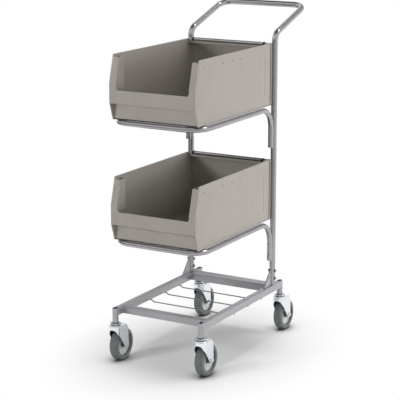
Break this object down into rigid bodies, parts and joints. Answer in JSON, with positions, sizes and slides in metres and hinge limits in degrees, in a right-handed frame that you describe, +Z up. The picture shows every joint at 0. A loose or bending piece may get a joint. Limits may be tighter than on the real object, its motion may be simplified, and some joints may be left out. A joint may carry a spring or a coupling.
{
  "type": "service cart",
  "caption": "Narrow service cart on swivel casters: bent tube frame with a push handle, open-front bins lifting off bent tube trays, and a low shelf of rails and wires.",
  "frame": {"origin": "on the floor, under the middle of the bounding box", "axes": "+Z up, -Y towards the open front of the bins, +X to the right of a viewer who faces that front"},
  "size_m": [0.3721, 0.7538, 1.1253],
  "materials": {
    "silver_grey_paint": "satin silver-grey powder coat",
    "warm_grey_plastic": "moulded, matt",
    "black_plastic": "moulded, matt",
    "bright_steel": "drawn, bright",
    "zinc_plate": "bright zinc plate",
    "light_grey_plastic": "moulded, matt",
    "grey_rubber": "solid grey rubber, matt"
  },
  "bodies": {
    "frame": {"side_rail_left": "silver_grey_paint", "side_rail_right": "silver_grey_paint", "front_cross_rail": "silver_grey_paint", "rear_cross_rail": "silver_grey_paint", "caster_socket_front_left": "silver_grey_paint", "caster_socket_front_right": "silver_grey_paint", "caster_socket_rear_left": "silver_grey_paint", "caster_socket_rear_right": "silver_grey_paint", "handle_frame": "silver_grey_paint", "post_gusset_left": "silver_grey_paint", "post_gusset_right": "silver_grey_paint", "post_stub_left": "bright_steel", "post_stub_right": "bright_steel", "post_bolt_left_lower": "bright_steel", "post_bolt_left_upper": "bright_steel", "post_bolt_right_lower": "bright_steel", "post_bolt_right_upper": "bright_steel", "tray_frame_lower": "silver_grey_paint", "tray_frame_upper": "silver_grey_paint", "tray_screw_lower_left_lower": "bright_steel", "tray_screw_lower_left_upper": "bright_steel", "tray_screw_lower_right_lower": "bright_steel", "tray_screw_lower_right_upper": "bright_steel", "tray_screw_upper_left_lower": "bright_steel", "tray_screw_upper_left_upper": "bright_steel", "tray_screw_upper_right_lower": "bright_steel", "tray_screw_upper_right_upper": "bright_steel", "shelf_wire_1": "bright_steel", "shelf_wire_2": "bright_steel", "shelf_wire_3": "bright_steel", "shelf_wire_4": "bright_steel", "caster_stem_front_left": "zinc_plate", "caster_stem_front_right": "zinc_plate", "caster_stem_rear_left": "zinc_plate", "caster_stem_rear_right": "zinc_plate"},
    "swivel_front_left": {"fork_front_left": "zinc_plate", "axle_bolt_front_left": "zinc_plate"},
    "swivel_front_right": {"fork_front_right": "zinc_plate", "axle_bolt_front_right": "zinc_plate"},
    "swivel_rear_left": {"fork_rear_left": "zinc_plate", "axle_bolt_rear_left": "zinc_plate"},
    "swivel_rear_right": {"fork_rear_right": "zinc_plate", "axle_bolt_rear_right": "zinc_plate"},
    "wheel_front_left": {"wheel_centre_front_left": "light_grey_plastic", "tyre_front_left": "grey_rubber"},
    "wheel_front_right": {"wheel_centre_front_right": "light_grey_plastic", "tyre_front_right": "grey_rubber"},
    "wheel_rear_left": {"wheel_centre_rear_left": "light_grey_plastic", "tyre_rear_left": "grey_rubber"},
    "wheel_rear_right": {"wheel_centre_rear_right": "light_grey_plastic", "tyre_rear_right": "grey_rubber"},
    "lower_bin": {"bin_lower": "warm_grey_plastic", "carry_bar_lower": "bright_steel", "bar_cap_lower_left": "black_plastic", "bar_cap_lower_right": "black_plastic"},
    "upper_bin": {"bin_upper": "warm_grey_plastic", "carry_bar_upper": "bright_steel", "bar_cap_upper_left": "black_plastic", "bar_cap_upper_right": "black_plastic"}
  },
  "joints": [
    {"name": "caster_swivel_front_left", "type": "hinge", "parent": "frame", "child": "swivel_front_left", "pos_m": [-0.1595, -0.3515, 0.1231], "axis": [0, 0, 1], "continuous": true},
    {"name": "caster_swivel_front_right", "type": "hinge", "parent": "frame", "child": "swivel_front_right", "pos_m": [0.1595, -0.3515, 0.1231], "axis": [0, 0, 1], "continuous": true},
    {"name": "caster_swivel_rear_left", "type": "hinge", "parent": "frame", "child": "swivel_rear_left", "pos_m": [-0.1595, 0.1995, 0.1231], "axis": [0, 0, 1], "continuous": true},
    {"name": "caster_swivel_rear_right", "type": "hinge", "parent": "frame", "child": "swivel_rear_right", "pos_m": [0.1595, 0.1995, 0.1231], "axis": [0, 0, 1], "continuous": true},
    {"name": "wheel_spin_front_left", "type": "hinge", "parent": "swivel_front_left", "child": "wheel_front_left", "pos_m": [-0.1595, -0.3185, 0.054], "axis": [1, 0, 0], "continuous": true},
    {"name": "wheel_spin_front_right", "type": "hinge", "parent": "swivel_front_right", "child": "wheel_front_right", "pos_m": [0.1595, -0.3185, 0.054], "axis": [1, 0, 0], "continuous": true},
    {"name": "wheel_spin_rear_left", "type": "hinge", "parent": "swivel_rear_left", "child": "wheel_rear_left", "pos_m": [-0.1595, 0.2325, 0.054], "axis": [1, 0, 0], "continuous": true},
    {"name": "wheel_spin_rear_right", "type": "hinge", "parent": "swivel_rear_right", "child": "wheel_rear_right", "pos_m": [0.1595, 0.2325, 0.054], "axis": [1, 0, 0], "continuous": true},
    {"name": "lower_bin_pull", "type": "slide", "parent": "frame", "child": "lower_bin", "axis": [0, -1, 0], "range_m": [0, 0.2]},
    {"name": "upper_bin_lift", "type": "slide", "parent": "frame", "child": "upper_bin", "axis": [0, 0, 1], "range_m": [0, 0.1]}
  ]
}
